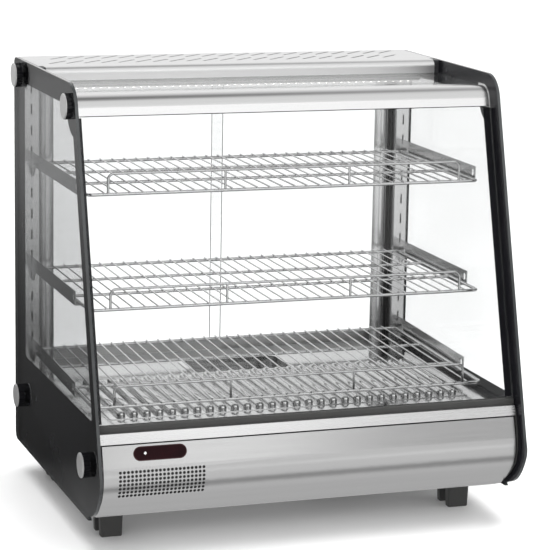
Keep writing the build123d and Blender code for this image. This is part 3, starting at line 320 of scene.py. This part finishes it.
WHITE = plastic("white_ink", (0.7, 0.7, 0.69), (0.4, 0.5))

FINISHES = {
    STEEL_X: ["top_front_profile"],
    PANEL: ["front_panel"],
    STRIP: ["front_strip"],
    COVER: ["rear_cover"],
    STEEL_Y: ["brackets_top", "brackets_middle", "brackets_bottom"],
    STEEL_Z: ["corner_post_left", "corner_post_right"],
    BRIGHT: ["heater_cover", "water_tray", "profile_ends"],
    DECK: ["deck_plate"],
    WIRE: ["shelf_top", "shelf_middle", "shelf_bottom", "guard_rail_top", "guard_rail_middle",
           "guard_rail_bottom"],
    SHEET: ["base_pan", "rear_panel"],
    ALUMINIUM: ["upper_track", "lower_track", "light_bar"],
    FRAME_METAL: ["door_left_frame", "door_right_frame"],
    CAP: ["knob_caps_left", "cap_screws_right"],
    PRINT: ["side_print_left", "side_print_right", "front_glass_print"],
    KNOB: ["clamp_knobs_left"],
    BLACK: ["cover_clips", "door_left_pull", "door_right_pull", "thermostat_knob", "thermostat_body",
            "switch_bezels", "terminal_block", "cable_gland", "light_driver"],
    RUBBER: ["front_gasket", "side_fillers", "feet"],
    SIDE_GLASS: ["side_glass_left"],
    CLEAR_SIDE_GLASS: ["side_glass_right"],
    FRONT_GLASS: ["front_glass"],
    TOP_GLASS: ["top_glass"],
    DOOR_GLASS: ["door_left_glass", "door_right_glass"],
    WINDOW: ["display_window"],
    BOARD: ["display_board"],
    MILKY: ["light_diffuser"],
    GREEN: ["power_switch"],
    RED: ["light_switch"],
    SHEATH: ["heating_element"],
    MOTOR: ["fan_motor"],
    FAN: ["fan_blades"],
    SCREW: ["rear_screws"],
}

for material, names in FINISHES.items():
    for name in names:
        part = NODES[name]
        part.data.materials.clear()
        part.data.materials.append(material)


# ------------------------------------------------------------ small pieces
def mesh_object(name, shape, material, body="case"):
    """Object from a bmesh, riding on a body."""
    bmesh.ops.recalc_face_normals(shape, faces=shape.faces)
    mesh = bpy.data.meshes.new(name)
    shape.to_mesh(mesh)
    shape.free()
    mesh.materials.append(material)
    piece = bpy.data.objects.new(name, mesh)
    scene.collection.objects.link(piece)
    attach(piece, body)
    return piece


def add_lens(shape, centre, radius, height):
    """Small lens that hangs below its centre, made of three rings."""
    steps = 12
    rings = []
    for share in (0.0, 0.45, 0.8):
        wide = radius * math.cos(share * math.pi / 2)
        drop = -height * math.sin(share * math.pi / 2)
        ring = []
        for i in range(steps):
            turn = 2 * math.pi * i / steps
            offset = Vector((wide * math.cos(turn), wide * math.sin(turn), drop))
            ring.append(shape.verts.new(centre + offset))
        rings.append(ring)
    tip = shape.verts.new(centre - Vector((0, 0, height)))
    for low, high in zip(rings, rings[1:]):
        for i in range(steps):
            j = (i + 1) % steps
            shape.faces.new((low[i], low[j], high[j], high[i]))
    for i in range(steps):
        shape.faces.new((rings[-1][i], rings[-1][(i + 1) % steps], tip))
    shape.faces.new(list(reversed(rings[0])))


def light_emitting_diodes():
    """Row of small lenses under the milky strip of the light bar."""
    low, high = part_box("light_diffuser")
    pitch = 0.013
    count = int((high.x - low.x - pitch) / pitch)
    centre_y = (low.y + high.y) / 2
    shape = bmesh.new()
    for i in range(count):
        x = (i - (count - 1) / 2) * pitch
        add_lens(shape, Vector((x, centre_y, low.z + 0.0001)), 0.0022, 0.0014)
    piece = mesh_object("led_lenses", shape, LED)
    for face in piece.data.polygons:
        face.use_smooth = True


def add_bar(shape, outline, along):
    """Straight bar from an outline of points, carried along a vector."""
    near = [shape.verts.new(point) for point in outline]
    far = [shape.verts.new(point + along) for point in outline]
    shape.faces.new(near)
    shape.faces.new(list(reversed(far)))
    for i in range(len(outline)):
        j = (i + 1) % len(outline)
        shape.faces.new((near[j], near[i], far[i], far[j]))


def add_block(shape, low, high):
    """Box between two corners."""
    outline = [Vector((low[0], low[1], low[2])), Vector((high[0], low[1], low[2])),
               Vector((high[0], low[1], high[2])), Vector((low[0], low[1], high[2]))]
    add_bar(shape, outline, Vector((0, high[1] - low[1], 0)))


def middle(box):
    """Centre in X and Z of a box."""
    low, high = box
    return (low.x + high.x) / 2, (low.z + high.z) / 2


def jamb_seals():
    """Black lipped seals between the jamb covers and the corner posts."""
    low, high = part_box("corner_post_right")
    inner = low.x + 0.0234
    face = 0.2407
    section = [(0, 0), (0, 0.0013), (0.0014, 0.0022), (0.0025, 0.0011), (0.0036, 0.0011),
               (0.0047, 0.0022), (0.0061, 0.0013), (0.0061, 0)]
    shape = bmesh.new()
    for side in (-1, 1):
        outline = [Vector((side * (inner + x), face - y, low.z + 0.001)) for x, y in section]
        add_bar(shape, outline, Vector((0, 0, high.z - low.z - 0.002)))
    mesh_object("jamb_seals", shape, SEAL)


def front_face(name, x, z):
    """Point of a node's surface that a level line from the front meets, and its normal."""
    hit, place, normal, _ = NODES[name].ray_cast(Vector((x, -1, z)), Vector((0, 1, 0)))
    assert hit, name
    return place, normal


def display_pieces():
    """Raised rim of the display window, and its small lit mark."""
    low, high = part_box("display_window")
    place, normal = front_face("display_window", *middle((low, high)))
    up = normal.cross(Vector((1, 0, 0)))
    up = up if up.z > 0 else -up
    radius = (high.z - low.z) / 2 / up.z
    straight = (high.x - low.x) / 2 - radius
    steps = 16
    shape = bmesh.new()
    rings = []
    lip = ((0.0012, -0.0002), (0.0011, 0.0004), (0.0004, 0.0006), (-0.0003, 0.0004),
           (-0.0003, -0.0002))
    for grow, lift in lip:
        ring = []
        for i in range(2 * steps + 2):
            side = 1 if i <= steps else -1
            turn = math.pi * (i - (0 if side > 0 else 1)) / steps - math.pi / 2
            x = side * straight + (radius + grow) * math.cos(turn)
            rise = (radius + grow) * math.sin(turn)
            ring.append(shape.verts.new(place + Vector((x, 0, 0)) + up * rise + normal * lift))
        rings.append(ring)
    for k in range(len(rings)):
        inner, outer = rings[k], rings[(k + 1) % len(rings)]
        for i in range(len(inner)):
            j = (i + 1) % len(inner)
            shape.faces.new((inner[i], inner[j], outer[j], outer[i]))
    mesh_object("display_rim", shape, RIM)
    mark = place + Vector((-0.565 * (straight + radius), 0, 0)) + up * 0.0004
    shape = bmesh.new()
    for turn in range(4):
        angle = turn * math.pi / 2
        arms = []
        for reach, offset in MARK_CORNERS:
            across = Vector((reach * math.cos(angle + offset), 0, 0))
            rise = up * reach * math.sin(angle + offset)
            arms.append(mark + across + rise - normal * 0.0001)
        add_bar(shape, arms, normal * 0.00025)
    mesh_object("display_mark", shape, MARK)


def profile_seal():
    """Dark seal between the lower edge of the top profile and the front glass."""
    low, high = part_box("top_front_profile")
    shape = bmesh.new()
    place, _ = front_face("top_front_profile", 0.0, low.z + 0.0015)
    add_block(shape, (low.x + 0.0005, place.y + 0.0003, low.z - 0.0013),
              (high.x - 0.0005, place.y + 0.0035, low.z + 0.0001))
    mesh_object("profile_seal", shape, SEAL)


def grille_shade_sheet():
    """Black sheet close behind the air grille, bent as the panel is, that paints shade into the grille's
    holes.
    """
    outer = []
    inner = []
    low, high = SHADE_SHEET_HEIGHTS
    steps = 12
    for i in range(steps + 1):
        height = low + (high - low) * i / steps
        place, normal = front_face("front_panel", SHADE_SHEET_LEFT, height)
        outer.append(place - normal * 0.0016)
        inner.append(place - normal * 0.0036)
    shape = bmesh.new()
    add_bar(shape, outer + inner[::-1], Vector((SHADE_SHEET_WIDTH, 0, 0)))
    mesh_object("grille_shade_sheet", shape, SEAL)


def dial_marks():
    """Printed scale round the thermostat knob, and the line on the knob."""
    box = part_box("thermostat_knob")
    centre_x, centre_z = middle(box)
    knob_y = box[1].y
    panel_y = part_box("rear_panel")[1].y
    shape = bmesh.new()
    for i in range(DIAL_TICKS):
        angle = DIAL_TURN * (i / (DIAL_TICKS - 1) - 0.5)
        out = Vector((math.sin(angle), 0, math.cos(angle)))
        across = Vector((math.cos(angle), 0, -math.sin(angle))) * INK_HALF
        reach = out * (0.004 if i % 5 else 0.006)
        foot = Vector((centre_x, panel_y - 0.0001, centre_z)) + out * DIAL_R
        outline = [foot - across, foot + across, foot + across + reach, foot - across + reach]
        add_bar(shape, outline, Vector((0, 0.0003, 0)))
    mesh_object("thermostat_scale", shape, SEAL)
    shape = bmesh.new()
    add_block(shape, (centre_x - 0.0011, knob_y - 0.0013, centre_z + 0.001),
              (centre_x + 0.0011, knob_y - 0.0003, centre_z + 0.0145))
    mesh_object("thermostat_pointer", shape, WHITE, "thermostat_control")


def rocker_marks():
    """Printed bar and ring on each rocker."""
    for node_name, body in (("power_switch", "power_rocker"), ("light_switch", "light_rocker")):
        part = NODES[node_name]
        middle_x, middle_z = middle(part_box(node_name))
        dots = []
        for turn in range(12):
            angle = math.radians(30 * turn)
            across = RING_R * math.cos(angle)
            rise = RING_R * math.sin(angle) - 0.0048
            dots.append((across, rise, INK_HALF))
        dots.append((0, 0.0045, RING_R))
        shape = bmesh.new()
        for across, rise, tall in dots:
            x = middle_x + across
            z = middle_z + rise
            hit, place, _, _ = part.ray_cast(Vector((x, 1, z)), Vector((0, -1, 0)))
            assert hit, node_name
            add_block(shape, (x - INK_HALF, place.y - 0.0006, z - tall),
                      (x + INK_HALF, place.y + 0.0001, z + tall))
        mesh_object(node_name + "_marks", shape, WHITE, body)


light_emitting_diodes()
jamb_seals()
display_pieces()
profile_seal()
grille_shade_sheet()
dial_marks()
rocker_marks()


# ------------------------------------------------------------------- stage
def levels(tree, value, stops):
    """Grey level by position along a value, from a list of stops."""
    ramp = node(tree, "ValToRGB")
    steps = ramp.color_ramp.elements
    for step, (position, level) in zip(steps, (stops[0], stops[-1])):
        step.position = position
        step.color = (*grey(level), 1)
    for position, level in stops[1:-1]:
        steps.new(position).color = (*grey(level), 1)
    tree.links.new(value, ramp.inputs["Fac"])
    return ramp.outputs["Color"]


def ranged(tree, value, low, high, curve="SMOOTHSTEP"):
    """A value between two limits carried to the range from 0 to 1."""
    reach = node(tree, "MapRange", interpolation_type=curve)
    reach.inputs["From Min"].default_value = low
    reach.inputs["From Max"].default_value = high
    tree.links.new(value, reach.inputs["Value"])
    return reach.outputs["Result"]


def directions(tree, output):
    """X, Y and Z of a coordinate output."""
    place = node(tree, "TexCoord")
    split = node(tree, "SeparateXYZ")
    tree.links.new(place.outputs[output], split.inputs[0])
    return split.outputs


def floor():
    """Plain pale floor, which mirrors see as painted brightness along Y, with painted shadow of the case
    under and behind it.
    """
    shape = bmesh.new()
    bmesh.ops.create_circle(shape, cap_ends=True, radius=16.0, segments=96)
    mesh = bpy.data.meshes.new("floor")
    shape.to_mesh(mesh)
    shape.free()
    material, tree, output = new_material("pale_floor")
    shader = principled(tree, output, Roughness=0.7)
    shader.inputs["Specular IOR Level"].default_value = 0.1
    cloud = object_noise(tree, 3.0)
    tree.links.new(tone(tree, cloud, grey(0.88), grey(0.9)), shader.inputs["Base Color"])
    along = ranged(tree, directions(tree, "Object")["Y"], -4.0, 4.0, "LINEAR")
    # Painted reflection: glossy rays see this emission instead of the lit floor, with painted shadow
    # under and behind the case and a dark band just in front of it.
    mirrored = node(tree, "Emission")
    stops = [(y / 8 + 0.5, level) for y, level in PAINTED_FLOOR_REFLECTION]
    tree.links.new(levels(tree, along, stops), mirrored.inputs["Color"])
    path = node(tree, "LightPath")
    mix = node(tree, "MixShader")
    tree.links.new(path.outputs["Is Glossy Ray"], mix.inputs[0])
    tree.links.new(shader.outputs[0], mix.inputs[1])
    tree.links.new(mirrored.outputs[0], mix.inputs[2])
    tree.links.new(mix.outputs[0], output.inputs["Surface"])
    mesh.materials.append(material)
    ground = bpy.data.objects.new("floor", mesh)
    scene.collection.objects.link(ground)


def softbox(name, place, target, width, height, power, mirrored):
    """Large soft area light aimed at a point, seen in reflections or not."""
    data = bpy.data.lights.new(name, "AREA")
    data.shape = "RECTANGLE"
    data.size = width
    data.size_y = height
    data.energy = power
    lamp = bpy.data.objects.new(name, data)
    lamp.location = place
    aim = Vector(target) - Vector(place)
    lamp.rotation_euler = aim.to_track_quat("-Z", "Y").to_euler()
    lamp.visible_glossy = mirrored
    scene.collection.objects.link(lamp)


def room():
    """White backdrop to the eye, and a studio with a dark ceiling to mirrors."""
    world = bpy.data.worlds.new("studio")
    scene.world = world
    world.use_nodes = True
    tree = world.node_tree
    tree.nodes.clear()
    output = tree.nodes.new("ShaderNodeOutputWorld")
    way = directions(tree, "Generated")
    front = levels(tree, way["Z"], FRONT_WALL)
    back = levels(tree, way["Z"], BACK_WALL)
    wall = node(tree, "Mix", data_type="RGBA")
    tree.links.new(ranged(tree, way["Y"], -0.25, 0.25), wall.inputs["Factor"])
    tree.links.new(front, wall.inputs[6])
    tree.links.new(back, wall.inputs[7])
    # Both sides of the room are dark, which gives bright bars dark edges.
    aside = node(tree, "Math", operation="ABSOLUTE")
    tree.links.new(way["X"], aside.inputs[0])
    sides = node(tree, "Mix", data_type="RGBA")
    sides.inputs[7].default_value = (*grey(0.16), 1)
    tree.links.new(ranged(tree, aside.outputs[0], 0.5, 0.8), sides.inputs["Factor"])
    tree.links.new(wall.outputs[2], sides.inputs[6])
    studio_light = node(tree, "Background", Strength=1.0)
    tree.links.new(sides.outputs[2], studio_light.inputs["Color"])
    white = node(tree, "Background", Strength=1.3)
    white.inputs["Color"].default_value = (1, 1, 1, 1)
    path = node(tree, "LightPath")
    mix = node(tree, "MixShader")
    tree.links.new(path.outputs["Is Camera Ray"], mix.inputs[0])
    tree.links.new(studio_light.outputs[0], mix.inputs[1])
    tree.links.new(white.outputs[0], mix.inputs[2])
    tree.links.new(mix.outputs[0], output.inputs["Surface"])


def lights():
    """Soft overhead light and softboxes in front and at both sides."""
    dome = bpy.data.lights.new("overhead_light", "SUN")
    dome.energy = 2.6
    dome.angle = math.radians(60)
    overhead = bpy.data.objects.new("overhead_light", dome)
    overhead.rotation_euler = (math.radians(-12), math.radians(6), 0)
    overhead.visible_glossy = False
    scene.collection.objects.link(overhead)
    softbox("top_light", (0.1, -0.5, 2.4), (0, 0, 0.3), 2.4, 1.8, 20, False)
    softbox("left_light", (-1.9, -2.6, 1.9), (0, 0, 0.35), 1.4, 1.8, 30, False)
    softbox("right_light", (2.6, -1.2, 1.5), (0, 0, 0.35), 1.2, 1.8, 22, False)
    softbox("front_light", (0.9, -3.5, 2.1), (0.9, 0, 2.1), 4.0, 1.1, 15, True)
    softbox("front_low_light", (0.85, -3.5, 1.2), (0.85, 0, 1.2), 0.75, 0.7, 1.5, True)


def camera():
    """Long lens, a little above the case and to its left."""
    azimuth = math.radians(-19.177)
    elevation = math.radians(11.413)
    roll = math.radians(1.029)
    right = Vector((math.cos(azimuth), math.sin(azimuth), 0))
    back = Vector((
        math.sin(azimuth) * math.cos(elevation),
        -math.cos(azimuth) * math.cos(elevation),
        math.sin(elevation),
    ))
    up = back.cross(right)
    side = math.cos(roll) * right + math.sin(roll) * up
    top = -math.sin(roll) * right + math.cos(roll) * up
    turn = Matrix((side, top, back)).transposed().to_4x4()
    data = bpy.data.cameras.new("camera")
    data.lens = 152.0
    data.sensor_width = 36.0
    data.clip_end = 50.0
    eye = bpy.data.objects.new("camera", data)
    eye.matrix_world = Matrix.Translation((-1.16498, -3.41133, 1.08924)) @ turn
    scene.collection.objects.link(eye)
    scene.camera = eye


floor()
room()
lights()
camera()
scene.view_settings.view_transform = "Standard"

bpy.context.view_layer.update()
